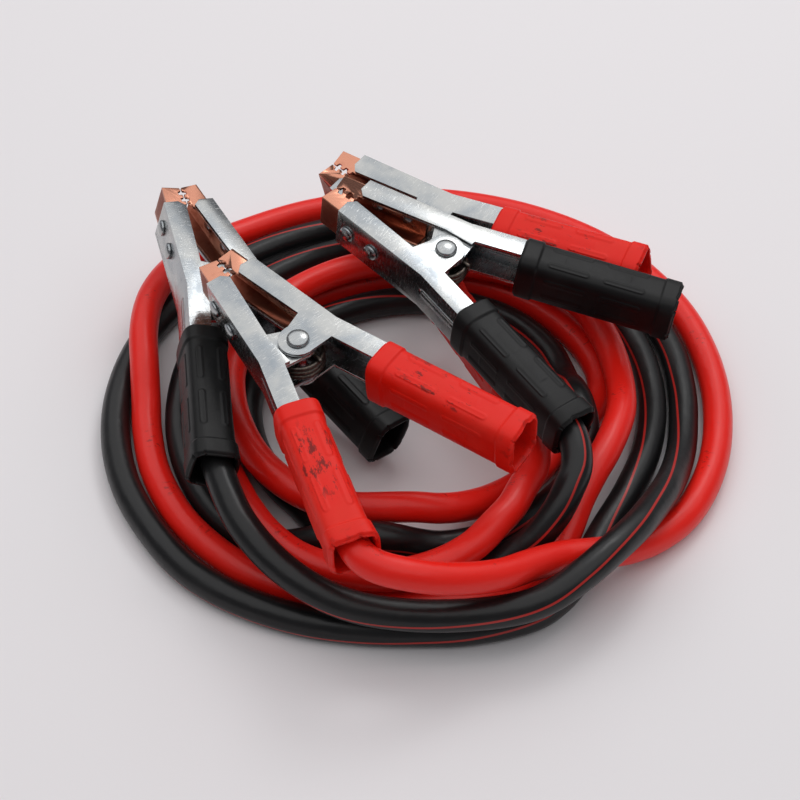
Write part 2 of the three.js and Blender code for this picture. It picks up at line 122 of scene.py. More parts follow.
BLACK_COIL = (
    (233, 118, 35), (245, 125, 28), (257, 130, 24), (270, 132, 23), (285, 135, 24),
    (292, 136, 26), (300, 133.5, 29.5), (307, 130.5, 30.5), (315, 127, 28), (322, 124, 24),
    (330, 122, 19), (338, 120.5, 13), (346, 120, 9), (354, 120, 7.2), (365, 121.5, 7), (380, 125, 7),
    (400, 128, 7), (420, 130, 7), (440, 130, 7), (460, 130, 7), (480, 131, 7), (500, 132, 7),
    (520, 134, 7), (540, 134.5, 7), (560, 134.5, 7), (580, 134.5, 7), (590, 134, 7), (600, 132, 7),
    (610, 130, 7), (620, 128, 7), (630, 127, 7), (640, 128, 7), (652, 128, 7), (658, 124.5, 7),
    (664, 119, 7), (670, 113.5, 7), (678, 108, 7), (690, 105, 7), (705, 105, 7), (720, 106.5, 7),
    (735, 109, 7), (750, 112, 7), (765, 113.5, 7), (780, 114, 7), (800, 114, 7), (820, 114, 7),
    (840, 113, 7), (860, 111, 7), (880, 108, 7), (900, 106, 7), (918, 106, 7), (936, 106.5, 7),
    (948, 105, 7), (955, 101, 8.5), (962, 98.5, 15), (969, 95, 21), (976, 91.5, 21.3), (983, 88, 18),
    (990, 84.5, 11.5), (997, 83, 7.5), (1007, 83, 7), (1020, 82, 7), (1035, 81.5, 7),
    (1048, 81, 7.5), (1056, 80, 13.5), (1063, 77, 19.5), (1070, 73.5, 21.6), (1077, 70.5, 20.5),
    (1084, 69.5, 15.5), (1091, 69.5, 10), (1099, 70.5, 7.3), (1110, 72, 7), (1125, 73, 7),
    (1140, 73, 7), (1160, 72.5, 7), (1180, 72, 7), (1200, 72, 7), (1220, 73, 7), (1240, 75, 7),
    (1260, 75.5, 7), (1280, 75.5, 7), (1300, 76, 7), (1310, 77, 7), (1317, 80, 7), (1324, 86, 7),
    (1331, 92, 7), (1338, 96.5, 7), (1345, 98.5, 7), (1352, 98.5, 7), (1359, 98.5, 7),
    (1366, 99, 8.5), (1372, 101, 14), (1378, 103, 22),
)


class Wire:
    """An output socket, or a number, that arithmetic joins to more nodes."""

    def __init__(self, graph: "Graph", value: Any) -> None:
        """Holds a socket or number and the graph that its nodes go to."""
        self.graph = graph
        self.value = value

    def _math(self, kind: str, *others: Any) -> "Wire":
        """One maths node on this value and others."""
        return self.graph.math(kind, self, *others)

    def __add__(self, other: Any) -> "Wire":
        """This plus another."""
        return self._math("ADD", other)

    def __radd__(self, other: Any) -> "Wire":
        """A number plus this."""
        return self._math("ADD", other)

    def __sub__(self, other: Any) -> "Wire":
        """This minus another."""
        return self._math("SUBTRACT", other)

    def __rsub__(self, other: Any) -> "Wire":
        """A number minus this."""
        return self.graph.math("SUBTRACT", other, self)

    def __mul__(self, other: Any) -> "Wire":
        """This times another."""
        return self._math("MULTIPLY", other)

    def __rmul__(self, other: Any) -> "Wire":
        """A number times this."""
        return self._math("MULTIPLY", other)

    def __abs__(self) -> "Wire":
        """Its size without its sign."""
        return self._math("ABSOLUTE")

    def above(self, low: float, high: float) -> "Wire":
        """0 under low, 1 over high and smooth between.

        Args:
            low: Value that gives 0.
            high: Value that gives 1; under low, the step falls instead of rising.

        Returns:
            The step.
        """
        return self.graph.step(self, low, high)

    def below(self, low: float, high: float) -> "Wire":
        """1 under low, 0 over high and smooth between.

        Args:
            low: Value that gives 1.
            high: Value that gives 0.

        Returns:
            The step.
        """
        return 1.0 - self.graph.step(self, low, high)

    def least(self, other: Any) -> "Wire":
        """The smaller of two values.

        Args:
            other: A wire or a number.

        Returns:
            The smaller.
        """
        return self._math("MINIMUM", other)


Value = Union[Wire, float, Sequence[float]]


class Graph:
    """The node tree of one material, with a single Principled shader."""

    def __init__(self, name: str) -> None:
        """Starts a material with a shader and its output.

        Args:
            name: The material's name.
        """
        self.material = bpy.data.materials.new(name)
        self.material.use_nodes = True
        self.tree = self.material.node_tree
        self.tree.nodes.clear()
        self.shader = self.tree.nodes.new("ShaderNodeBsdfPrincipled")
        output = self.tree.nodes.new("ShaderNodeOutputMaterial")
        self.tree.links.new(self.shader.outputs["BSDF"], output.inputs["Surface"])

    def add(
        self, kind: str, settings: Optional[dict] = None, inputs: Optional[dict] = None,
    ) -> bpy.types.Node:
        """Adds a node.

        Args:
            kind: The node's type name, without ShaderNode.
            settings: Attributes set on the node.
            inputs: Values or wires by socket name or number.

        Returns:
            The node.
        """
        node = self.tree.nodes.new("ShaderNode" + kind)
        for key, value in (settings or {}).items():
            setattr(node, key, value)
        for key, value in (inputs or {}).items():
            self.feed(node.inputs[key], value)
        return node

    def feed(self, socket: bpy.types.NodeSocket, value: Value) -> None:
        """Links a wire to a socket, or sets its constant.

        Args:
            socket: The input.
            value: A wire, a number or a colour.
        """
        raw = value.value if isinstance(value, Wire) else value
        if isinstance(raw, bpy.types.NodeSocket):
            self.tree.links.new(raw, socket)
        elif isinstance(raw, (int, float)) or len(raw) == len(socket.default_value):
            socket.default_value = raw
        else:
            socket.default_value = (*raw, 1.0)

    def math(self, kind: str, *values: Value) -> Wire:
        """A maths node.

        Args:
            kind: The operation.
            values: Its operands.

        Returns:
            The result.
        """
        node = self.add("Math", {"operation": kind}, dict(enumerate(values)))
        return Wire(self, node.outputs[0])

    def step(self, value: Value, low: float, high: float) -> Wire:
        """A smooth step from 0 to 1 between two values.

        Args:
            value: What is tested.
            low: Value that gives 0.
            high: Value that gives 1.

        Returns:
            The step.
        """
        node = self.add(
            "MapRange", {"interpolation_type": "SMOOTHSTEP"},
            {"Value": value, "From Min": low, "From Max": high, "To Min": 0.0, "To Max": 1.0},
        )
        return Wire(self, node.outputs["Result"])

    def vector(self, name: Optional[str] = None) -> Wire:
        """A mesh attribute as a vector, or the object coordinates where it has no name.

        Args:
            name: The attribute.

        Returns:
            The vector.
        """
        if name is None:
            return Wire(self, self.add("TexCoord").outputs["Object"])
        return Wire(self, self.add("Attribute", {"attribute_name": name}).outputs["Vector"])

    def parts(self, vector: Wire) -> tuple[Wire, Wire, Wire]:
        """The three numbers of a vector.

        Args:
            vector: The vector.

        Returns:
            Its X, Y and Z.
        """
        node = self.add("SeparateXYZ", inputs={0: vector})
        return tuple(Wire(self, socket) for socket in node.outputs)

    def stretched(self, vector: Wire, scale: Sequence[float]) -> Wire:
        """A vector with each of its numbers scaled.

        Args:
            vector: The vector.
            scale: Factor along each axis.

        Returns:
            The scaled vector.
        """
        node = self.add("VectorMath", {"operation": "MULTIPLY"}, {0: vector, 1: scale})
        return Wire(self, node.outputs[0])

    def noise(self, vector: Wire, scale: float, detail: float = 3.0, rough: float = 0.55) -> Wire:
        """Fractal noise between 0 and 1.

        Args:
            vector: Where it is read.
            scale: Its fineness.
            detail: How many octaves.
            rough: Weight of the finer octaves.

        Returns:
            The noise.
        """
        node = self.add(
            "TexNoise", inputs={"Vector": vector, "Scale": scale, "Detail": detail, "Roughness": rough}
        )
        return Wire(self, node.outputs["Fac"])

    def cells(self, vector: Wire, scale: float) -> Wire:
        """Distance to the nearest of scattered points.

        Args:
            vector: Where it is read.
            scale: How densely the points are scattered.

        Returns:
            The distance, in cells.
        """
        node = self.add("TexVoronoi", inputs={"Vector": vector, "Scale": scale})
        return Wire(self, node.outputs["Distance"])

    def mixed(self, share: Value, first: Value, second: Value) -> Wire:
        """A colour between two others.

        Args:
            share: 0 gives the first and 1 the second.
            first: A colour.
            second: A colour.

        Returns:
            The mix.
        """
        node = self.add("Mix", {"data_type": "RGBA"})
        for index, value in ((0, share), (6, first), (7, second)):
            self.feed(node.inputs[index], value)
        return Wire(self, node.outputs[2])

    def bump(
        self, height: Wire, distance: float, strength: float = 1.0, normal: Optional[Wire] = None,
    ) -> Wire:
        """A normal bent by a height field.

        Args:
            height: The height, in units of distance.
            distance: Metres a height of 1 stands for.
            strength: How much of it shows.
            normal: The normal it is laid on.

        Returns:
            The normal.
        """
        inputs = {"Height": height, "Distance": distance, "Strength": strength}
        if normal is not None:
            inputs["Normal"] = normal
        return Wire(self, self.add("Bump", inputs=inputs).outputs["Normal"])

    def finish(self, **sockets: Value) -> bpy.types.Material:
        """Feeds the shader.

        Args:
            sockets: Values by socket name, with spaces written as underscores.

        Returns:
            The material.
        """
        for name, value in sockets.items():
            self.feed(self.shader.inputs[name.replace("_", " ")], value)
        return self.material


@dataclass(frozen=True)
class ZincFinish:
    """Bright zinc-plated sheet with the scratches of use. The slot names the record's material."""

    slot: str = "zinc_steel"
    tint: tuple = (0.455, 0.46, 0.45)
    stained: tuple = (0.27, 0.30, 0.33)
    scratched: tuple = (0.62, 0.62, 0.60)
    roughness: float = 0.21
    embossed: bool = False
    relief: float = 0.00012
    rib_middle: float = -13.0
    rib_half_length: float = 10.0
    rib_radii: tuple = (1.6, 2.9)
    groove_radii: tuple = (0.2, 1.2)
    rib_height: float = 0.0008
    web_height: tuple = (14.0, 17.0)

    def build(self) -> bpy.types.Material:
        """Makes the material.

        Returns:
            The material.
        """
        g = Graph("embossed_zinc" if self.embossed else "zinc")
        local = g.vector("half_place")
        x, y, z = g.parts(local)
        long_scratches = g.noise(g.stretched(local, (0.05, 1.0, 1.0)), 2.4, 4.0, 0.7)
        cross = g.noise(g.stretched(local, (1.0, 0.12, 0.12)), 1.3, 4.0, 0.7)
        ticks = g.noise(g.stretched(local, (2.4, 0.26, 0.26)), 1.0, 3.0, 0.7).above(0.56, 0.70)
        dulled = g.noise(local, 0.045, 3.0, 0.6).above(0.38, 0.62)
        scratches = (long_scratches - 0.5) * 0.9 + (cross - 0.5) * 0.5 + ticks * 0.8
        stains = g.noise(local, 0.11, 5.0, 0.65).above(0.48, 0.72)
        specks = g.cells(local, 0.55).below(0.06, 0.14)
        aged = (stains * 0.3 + dulled * 0.6 + specks * 0.2).least(1.0)
        colour = g.mixed(aged, self.tint, self.stained)
        colour = g.mixed(ticks * 0.6, colour, self.scratched)
        worn = stains * 0.1 + abs(scratches) * 0.2 + specks * 0.1
        roughness = (self.roughness + worn).least(0.8)
        height = scratches * 0.2 + stains * 0.1
        normal = g.bump(height, self.relief, 0.6)
        if self.embossed:
            reach = g.math("MAXIMUM", abs(x - self.rib_middle) - self.rib_half_length, 0.0)
            gap = g.math("SQRT", reach * reach + z * z)
            rib = gap.below(*self.rib_radii) - gap.below(*self.groove_radii) * 0.35
            normal = g.bump(rib * y.above(*self.web_height), self.rib_height, 1.0, normal)
        return g.finish(Base_Color=colour, Metallic=1.0, Roughness=roughness, Normal=normal)


@dataclass(frozen=True)
class CopperFinish:
    """Copper plating, bright salmon outside and browned inside the channel."""

    slot: str = "copper"
    bright: tuple = (0.60, 0.27, 0.18)
    browned: tuple = (0.26, 0.07, 0.04)
    half_width: float = LEVER_HALF_WIDTH - STEEL - GAP

    def build(self) -> bpy.types.Material:
        """Makes the material.

        Returns:
            The material.
        """
        g = Graph("copper")
        local = g.vector("half_place")
        _, y, z = g.parts(local)
        patches = g.noise(local, 0.16, 5.0, 0.6)
        scratches = g.noise(g.stretched(local, (0.08, 1.0, 1.0)), 2.0, 4.0, 0.7)
        inside = abs(z).below(self.half_width - COPPER * 0.9, self.half_width - COPPER * 0.5)
        under = y.below(9.5, 12.5)
        browning = (inside * under * 0.85 + patches.above(0.5, 0.72) * 0.45).least(1.0)
        colour = g.mixed(browning, self.bright, self.browned)
        roughness = 0.26 + browning * 0.22 + abs(scratches - 0.5) * 0.25
        normal = g.bump(scratches * 0.5 + patches * 0.5, 0.00015, 0.6)
        return g.finish(Base_Color=colour, Metallic=1.0, Roughness=roughness, Normal=normal)


@dataclass(frozen=True)
class SpringFinish:
    """Dark, oiled spring wire with a brownish cast."""

    slot: str = "spring_steel"

    def build(self) -> bpy.types.Material:
        """Makes the material.

        Returns:
            The material.
        """
        g = Graph("spring_wire")
        place = g.vector()
        wear = g.noise(place, 900.0, 3.0, 0.6)
        colour = g.mixed(wear.above(0.45, 0.7), (0.10, 0.085, 0.075), (0.23, 0.185, 0.15))
        return g.finish(Base_Color=colour, Metallic=1.0, Roughness=0.30 + wear * 0.2)


class Dirt(Enum):
    """How soiled a soft piece is."""

    CLEAN = 0.25
    HANDLED = 0.6
    SCUFFED = 1.0


@dataclass(frozen=True)
class GripFinish:
    """Soft moulded vinyl with a faint grain, worn edges and dark smudges on its flanks."""

    slot: str
    colour: tuple
    dusty: tuple
    smudge: tuple
    dirt: Dirt = Dirt.HANDLED
    roughness: float = 0.42
    specular: float = 0.22
    rim: float = 9.0
    mark_middle: float = 58.0
    mark_reach: tuple = (9.0, 25.0)
    flank: float = 9.5

    def build(self) -> bpy.types.Material:
        """Makes the material.

        Returns:
            The material.
        """
        g = Graph(self.slot)
        place = g.vector()
        along, _, across = g.parts(g.vector("grip_place"))
        grain = g.noise(place, 2600.0, 2.0, 0.5)
        cloud = g.noise(place, 38.0, 5.0, 0.62)
        fine = g.noise(place, 240.0, 4.0, 0.65)
        dust = cloud.above(0.42, 0.75) * (0.5 + fine * 0.8) * self.dirt.value
        rim = (along - (GRIP_END - self.rim)).above(0.0, self.rim)
        marks = g.noise(g.stretched(g.vector("grip_place"), (0.11, 0.30, 0.30)), 1.0, 5.0, 0.75)
        zone = abs(along - self.mark_middle).below(*self.mark_reach)
        zone = zone * (abs(across) - self.flank).above(0.0, 1.5)
        smudges = marks.above(0.54, 0.62) * zone + rim * fine.above(0.5, 0.7) * 0.5
        smudges = smudges * self.dirt.value
        colour = g.mixed((dust * 0.35).least(0.5), self.colour, self.dusty)
        colour = g.mixed((smudges * 0.75).least(0.85), colour, self.smudge)
        roughness = self.roughness + dust * 0.18 + (grain - 0.5) * 0.06
        normal = g.bump(grain * 0.5 + fine * 0.6 + cloud, 0.00018, 0.5)
        return g.finish(
            Base_Color=colour, Roughness=roughness, Normal=normal,
            Subsurface_Weight=0.0, Specular_IOR_Level=self.specular,
        )


@dataclass(frozen=True)
class CableFinish:
    """Extruded PVC jacket, with dust, scuffs and, on the black one, a thin red line."""

    slot: str
    colour: tuple
    dusty: tuple
    scuff: tuple
    line: Optional[tuple] = None
    dirt: Dirt = Dirt.HANDLED
    specular: float = 0.32
    line_width: tuple = (0.05, 0.10)
    scuffed_angle: float = 1.9

    def build(self) -> bpy.types.Material:
        """Makes the material.

        Returns:
            The material.
        """
        g = Graph(self.slot)
        place = g.vector()
        round_cable = g.vector("cable_place")
        _, angle, from_line = g.parts(round_cable)
        cloud = g.noise(place, 30.0, 5.0, 0.6)
        fine = g.noise(place, 420.0, 4.0, 0.65)
        streaks = g.noise(g.stretched(round_cable, (0.35, 2.2, 1.0)), 3.0, 4.0, 0.7)
        dust = (cloud.above(0.4, 0.75) * 0.6 + streaks.above(0.5, 0.75) * 0.4) * self.dirt.value
        colour = g.mixed((dust * 0.3).least(0.5), self.colour, self.dusty)
        runs = g.noise(g.stretched(round_cable, (0.035, 0.0, 0.0)), 1.0, 2.0, 0.5)
        blots = g.noise(g.stretched(round_cable, (0.55, 1.6, 1.0)), 1.0, 4.0, 0.75)
        scuffs = runs.above(0.5, 0.62) * blots.above(0.55, 0.62)
        scuffs = scuffs * abs(angle - self.scuffed_angle).below(0.35, 0.6) * self.dirt.value
        colour = g.mixed((scuffs * 0.8).least(0.85), colour, self.scuff)
        if self.line is not None:
            line = abs(from_line).below(*self.line_width)
            colour = g.mixed(line * 0.9, colour, self.line)
        wave = g.noise(g.stretched(round_cable, (0.10, 0.4, 1.0)), 1.0, 2.0, 0.5)
        normal = g.bump(wave * 1.0 + fine * 0.15, 0.0006, 0.5)
        return g.finish(
            Base_Color=colour, Roughness=0.30 + dust * 0.25 + fine * 0.06, Normal=normal,
            Coat_Weight=0.06, Coat_Roughness=0.2, Specular_IOR_Level=self.specular,
        )


@dataclass(frozen=True)
class FloorFinish:
    """Plain pale studio floor."""

    colour: tuple = (0.80, 0.775, 0.785)

    def build(self) -> bpy.types.Material:
        """Makes the material.

        Returns:
            The material.
        """
        g = Graph("floor")
        return g.finish(Base_Color=self.colour, Roughness=0.85, Specular_IOR_Level=0.1)


RED_GRIP = GripFinish(
    "red_grip", (0.76, 0.011, 0.004), (0.72, 0.055, 0.035), (0.035, 0.006, 0.005), Dirt.SCUFFED,
)
BLACK_GRIP = GripFinish(
    "black_grip", (0.0050, 0.0050, 0.0052), (0.028, 0.027, 0.026), (0.003, 0.003, 0.003),
)
RED_CABLE = CableFinish("red_cable", (0.80, 0.012, 0.006), (0.74, 0.055, 0.04), (0.05, 0.008, 0.006))
BLACK_CABLE = CableFinish(
    "black_cable", (0.0055, 0.0055, 0.006), (0.030, 0.029, 0.028), (0.004, 0.004, 0.004),
    line=(0.45, 0.02, 0.015),
)


def to_model(points: np.ndarray) -> np.ndarray:
    """Working millimetres to the model's metres.

    Args:
        points: Places in the millimetres of the lay, n by 3.

    Returns:
        The same places in the row frame, in metres.
    """
    return (np.asarray(points, float) - SET_ORIGIN) * MM


def catmull_rom(points: np.ndarray, per_span: int) -> np.ndarray:
    """A centripetal Catmull-Rom curve: each span is cubic, and the knots are spaced by the
    square root of the distance between the points.

    Args:
        points: The points it passes through.
        per_span: How many places are worked out between two of them.

    Returns:
        Places along the curve.
    """
    p = np.vstack([2 * points[0] - points[1], points, 2 * points[-1] - points[-2]])
    p0, p1, p2, p3 = p[:-3], p[1:-2], p[2:-1], p[3:]
    knots = [np.zeros(len(p0))]
    for a, b in ((p0, p1), (p1, p2), (p2, p3)):
        knots.append(knots[-1] + np.linalg.norm(b - a, axis=1) ** 0.5)
    t0, t1, t2, t3 = (k[:, None, None] for k in knots)
    share = np.linspace(0, 1, per_span, endpoint=False)[None, :, None]
    t = t1 + (t2 - t1) * share
    q0, q1, q2, q3 = (q[:, None, :] for q in (p0, p1, p2, p3))
    a1 = ((t1 - t) * q0 + (t - t0) * q1) / (t1 - t0)
    a2 = ((t2 - t) * q1 + (t - t1) * q2) / (t2 - t1)
    a3 = ((t3 - t) * q2 + (t - t2) * q3) / (t3 - t2)
    b1 = ((t2 - t) * a1 + (t - t0) * a2) / (t2 - t0)
    b2 = ((t3 - t) * a2 + (t - t1) * a3) / (t3 - t1)
    curve = ((t2 - t) * b1 + (t - t1) * b2) / (t2 - t1)
    return np.vstack([curve.reshape(-1, 3), points[-1]])


def evenly(points: np.ndarray, count: int) -> tuple[np.ndarray, np.ndarray]:
    """Places at equal distances along a line.

    Args:
        points: The line's points.
        count: How many places.

    Returns:
        The places, and how far along each lies.
    """
    run = np.r_[0, np.cumsum(np.linalg.norm(np.diff(points, axis=0), axis=1))]
    along = np.linspace(0, run[-1], count)
    return np.stack([np.interp(along, run, points[:, k]) for k in range(3)], 1), along


def grid_faces(rows: int, columns: int, loop_rows: bool = False) -> np.ndarray:
    """Quads over a grid that closes on itself round its columns.

    Args:
        rows: Rows of points.
        columns: Points in a row.
        loop_rows: Whether the last row joins the first too.

    Returns:
        Four point numbers a quad.
    """
    r, c = np.meshgrid(np.arange(rows if loop_rows else rows - 1), np.arange(columns), indexing="ij")
    r2, c2 = (r + 1) % rows, (c + 1) % columns
    low, high = r * columns, r2 * columns
    return np.stack([low + c, low + c2, high + c2, high + c], -1).reshape(-1, 4)


def new_mesh(
    name: str, points: np.ndarray, faces: Sequence, attributes: Optional[dict] = None,
) -> bpy.types.Object:
    """A smoothly shaded object of the given points and faces, facing outwards.

    Args:
        name: The object's name.
        points: Places in the row frame, in metres.
        faces: Point numbers of each face.
        attributes: Vectors on the points, by name.

    Returns:
        The object.
    """
    mesh = bpy.data.meshes.new(name)
    mesh.from_pydata(np.asarray(points, float).tolist(), [], [list(map(int, f)) for f in faces])
    for key, values in (attributes or {}).items():
        layer = mesh.attributes.new(key, "FLOAT_VECTOR", "POINT")
        layer.data.foreach_set("vector", np.asarray(values, np.float32).ravel())
    work = bmesh.new()
    work.from_mesh(mesh)
    bmesh.ops.recalc_face_normals(work, faces=work.faces)
    work.to_mesh(mesh)
    work.free()
    mesh.shade_smooth()
    item = bpy.data.objects.new(name, mesh)
    bpy.context.scene.collection.objects.link(item)
    return item


def swept(centre: np.ndarray, radius: float, angle: np.ndarray) -> np.ndarray:
    """Rings carried along a line. A ring's points lie on a circle about the line, in the plane
    of the sideways direction, which is level, and the one square to it and to the line.

    Args:
        centre: The line.
        radius: The rings'.
        angle: Where each point of a ring lies on it, from sideways towards up.

    Returns:
        The points, ring after ring, n by 3.
    """
    ahead = np.gradient(centre, axis=0)
    ahead /= np.linalg.norm(ahead, axis=1, keepdims=True)
    aside = np.cross(ahead, UP)
    aside /= np.linalg.norm(aside, axis=1, keepdims=True)
    over = np.cross(aside, ahead)
    ring = aside[:, None] * np.cos(angle)[None, :, None] + over[:, None] * np.sin(angle)[None, :, None]
    return (centre[:, None] + ring * radius).reshape(-1, 3)


def capped(rings: int, sides: int) -> list:
    """Faces of a tube of rings, with a flat face on each end.

    Args:
        rings: How many rings.
        sides: Points in a ring.

    Returns:
        Point numbers of each face.
    """
    last = (rings - 1) * sides
    return [*grid_faces(rings, sides).tolist(), list(range(sides)), list(range(last, last + sides))]


@dataclass(frozen=True)
class ClampPose:
    """Where a clamp lies: its pivot, and turns about X, Y and Z applied in that order."""

    name: str
    at: tuple
    turn: tuple
    grip: GripFinish

    @property
    def matrix(self) -> np.ndarray:
        """The clamp's own frame in working millimetres, as a 4 by 4 matrix."""
        turned = Euler([math.radians(v) for v in self.turn], "XYZ").to_matrix().to_4x4()
        return np.array(Matrix.Translation(self.at) @ turned)


CLAMPS = (
    ClampPose("black_rear", (-79.8, 268.6, 45.0), (14.5, -9.2, 114.3), BLACK_GRIP),
    ClampPose("red_front", (-41.8, 204.0, 68.5), (-5.2, -3.7, 127.4), RED_GRIP),
    ClampPose("black_front", (19.4, 268.7, 62.5), (-3.1, -8.5, 145.3), BLACK_GRIP),
    ClampPose("red_rear", (12.6, 314.0, 41.5), (-15.4, -2.4, 136.3), RED_GRIP),
)


@dataclass
class Half:
    """One of a clamp's two sides. Its own frame has the pivot along Z, the jaw towards +X and
    the lever above on +Y."""

    pose: ClampPose
    side: str
    frame: dict
    weld: float = 2e-6
    flat: float = math.radians(2)
    bent: float = math.radians(30)
    crease: float = math.radians(38)

    @property
    def body(self) -> str:
        """The body the half moves with."""
        return ROOT_BODY if self.side == "cable" else f"{self.pose.name}_free_side"

    @property
    def matrix(self) -> np.ndarray:
        """The half's own frame in working millimetres."""
        flip = np.diag([1.0, -1.0, -1.0, 1.0]) if self.side == "free" else np.eye(4)
        return self.pose.matrix @ flip

    def placed(self, points: np.ndarray) -> np.ndarray:
        """The half's own millimetres to working millimetres.

        Args:
            points: Places in the half's frame, n by 3.

        Returns:
            The places in the lay.
        """
        m = self.matrix
        return np.asarray(points, float) @ m[:3, :3].T + m[:3, 3]

    def own(self, model_points: np.ndarray) -> np.ndarray:
        """The model's metres to the half's own millimetres.

        Args:
            model_points: Places in the row frame.

        Returns:
            The places in the half's frame.
        """
        m = self.matrix
        return (model_points / MM + SET_ORIGIN - m[:3, 3]) @ m[:3, :3]

    def settle(self, item: bpy.types.Object, node: str, finish: Any, material: bpy.types.Material) -> None:
        """Gives a piece its material and body, and hides the CAD node it stands for.

        Args:
            item: The piece.
            node: The CAD node it stands for.
            finish: Not used.
            material: The finish's material.
        """
        item.data.materials.clear()
        item.data.materials.append(material)
        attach(item, self.body)
        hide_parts(node)

    def softened(self, node: str, width: float, segments: int) -> bpy.types.Object:
        """A copy of a sheet-metal node with its edges rounded, as bent and tumbled sheet has.

        Args:
            node: The CAD node.
            width: Width of the rounding, in metres.
            segments: Faces across it.

        Returns:
            The copy.
        """
        source = self.frame["nodes"][node]
        work = bmesh.new()
        work.from_mesh(source.data)
        bmesh.ops.remove_doubles(work, verts=work.verts, dist=self.weld)
        bmesh.ops.dissolve_limit(work, angle_limit=self.flat, verts=work.verts, edges=work.edges)
        edges = [edge for edge in work.edges if len(edge.link_faces) == 2]
        sharp = [edge for edge in edges if edge.calc_face_angle(0.0) > self.bent]
        bmesh.ops.bevel(
            work, geom=sharp, offset=width, segments=segments, profile=0.6,
            affect="EDGES", clamp_overlap=True,
        )
        bmesh.ops.triangulate(work, faces=work.faces)
        mesh = bpy.data.meshes.new(f"{node}_shown")
        work.to_mesh(mesh)
        work.free()
        places = np.empty(len(mesh.vertices) * 3)
        mesh.vertices.foreach_get("co", places)
        layer = mesh.attributes.new("half_place", "FLOAT_VECTOR", "POINT")
        layer.data.foreach_set("vector", self.own(places.reshape(-1, 3)).astype(np.float32).ravel())
        mesh.shade_smooth()
        mesh.set_sharp_from_angle(angle=self.crease)
        item = bpy.data.objects.new(mesh.name, mesh)
        bpy.context.scene.collection.objects.link(item)
        return item


def lathe(
    name: str, profile: Sequence, sides: int, place: Callable[[np.ndarray], np.ndarray],
) -> bpy.types.Object:
    """A turned piece: each row of points lies on a circle about Z at the profile's height.

    Args:
        name: The object's name.
        profile: Radius and height from one end to the other, both on the axis.
        sides: Points in a circle.
        place: Takes the piece's own places to the row frame.

    Returns:
        The object.
    """
    rows = np.array(profile, float)
    angle = np.linspace(0, 2 * math.pi, sides, endpoint=False)
    inner = rows[1:-1]
    ring = np.stack(np.broadcast_arrays(
        inner[:, :1] * np.cos(angle), inner[:, :1] * np.sin(angle), inner[:, 1:],
    ), -1).reshape(-1, 3)
    points = np.vstack([ring, [[0, 0, rows[0, 1]]], [[0, 0, rows[-1, 1]]]])
    faces = grid_faces(len(inner), sides).tolist()
    low, high, last = len(ring), len(ring) + 1, (len(inner) - 1) * sides
    turn = np.arange(sides)
    faces += np.stack([np.full(sides, low), (turn + 1) % sides, turn], 1).tolist()
    faces += np.stack([np.full(sides, high), last + turn, last + (turn + 1) % sides], 1).tolist()
    return new_mesh(name, place(points), faces, attributes={"half_place": points})


def domed(shank: float, head: float, height: float, base: float) -> list:
    """The outline of a domed head: a short upright edge, then a low dome.

    Args:
        shank: Radius of what it stands on.
        head: Radius of the head.
        height: Its height.
        base: Where it begins.

    Returns:
        Radius and height, from the shank to the crown.
    """
    angle = np.linspace(0.12, math.pi / 2, 8)
    dome = [(head * math.cos(a), base + height * (0.25 + 0.75 * math.sin(a))) for a in angle[:-1]]
    return [(shank, base), (head * 0.97, base), (head, base + height * 0.1), *dome, (0.0, base + height)]


@dataclass
class Rivets:
    """The jaws' rivets and the pivot of one clamp. The sizes are in millimetres, and a head
    stands off its sheet by the clearance."""

    finish: ZincFinish
    material: bpy.types.Material
    sides: int = 32
    clearance: float = 0.05
    jaw_shank: float = 2.0
    jaw_head: float = 3.7
    jaw_height: float = 1.9
    tail_height: float = 1.3
    tail_edge: float = 0.9
    tail_radii: tuple = (2.2, 2.8, 2.9)
    pivot_shank: float = 3.0
    pivot_head: float = 4.8
    pivot_height: float = 2.3

    def on_nose(self, half: Half, x: float) -> Callable[[np.ndarray], np.ndarray]:
        """A function that puts a rivet drawn about Z on the back of the nose.

        Args:
            half: The side of the clamp.
            x: How far in front of the pivot.

        Returns:
            The function.
        """
        slope = (NOSE_Y - BEND_Y) / NOSE_X
        lean = math.atan(slope)
        outward = np.array([-math.sin(lean), math.cos(lean), 0.0])
        ahead = np.array([math.cos(lean), math.sin(lean), 0.0])
        base = np.array([x, BEND_Y + slope * x, 0.0])

        def place(points: np.ndarray) -> np.ndarray:
            """The rivet's own places in the row frame."""
            local = base + points[:, :1] * ahead - points[:, 1:2] * UP + points[:, 2:] * outward
            return to_model(half.placed(local))

        return place

    def build_jaw(self, half: Half) -> None:
        """Makes the two rivets of a jaw.

        Args:
            half: The side of the clamp.
        """
        stack = -(STEEL + GAP + COPPER) - self.clearance
        end, edge = stack - self.tail_height, stack - self.tail_edge
        crown, shoulder, rim = self.tail_radii
        tail = [(0.0, end), (crown, end), (shoulder, edge), (rim, stack), (self.jaw_shank, stack)]
        profile = [*tail, *domed(self.jaw_shank, self.jaw_head, self.jaw_height, self.clearance)]
        for number, x in enumerate(JAW_RIVET_X, 1):
            node = f"{half.pose.name}_{half.side}_jaw_rivet_{number}"
            item = lathe(f"{node}_shown", profile, self.sides, self.on_nose(half, x))
            half.settle(item, node, self.finish, self.material)

    def build_pivot(self, half: Half) -> None:
        """Makes the pivot rivet.

        Args:
            half: The side of the clamp that holds it.
        """
        node = f"{half.pose.name}_pivot_rivet"
        base = LEVER_HALF_WIDTH + self.clearance
        top = domed(self.pivot_shank, self.pivot_head, self.pivot_height, base)
        profile = [*[(r, -z) for r, z in reversed(top)], *top]
        item = lathe(f"{node}_shown", profile, self.sides, lambda p: to_model(half.placed(p)))
        half.settle(item, node, self.finish, self.material)


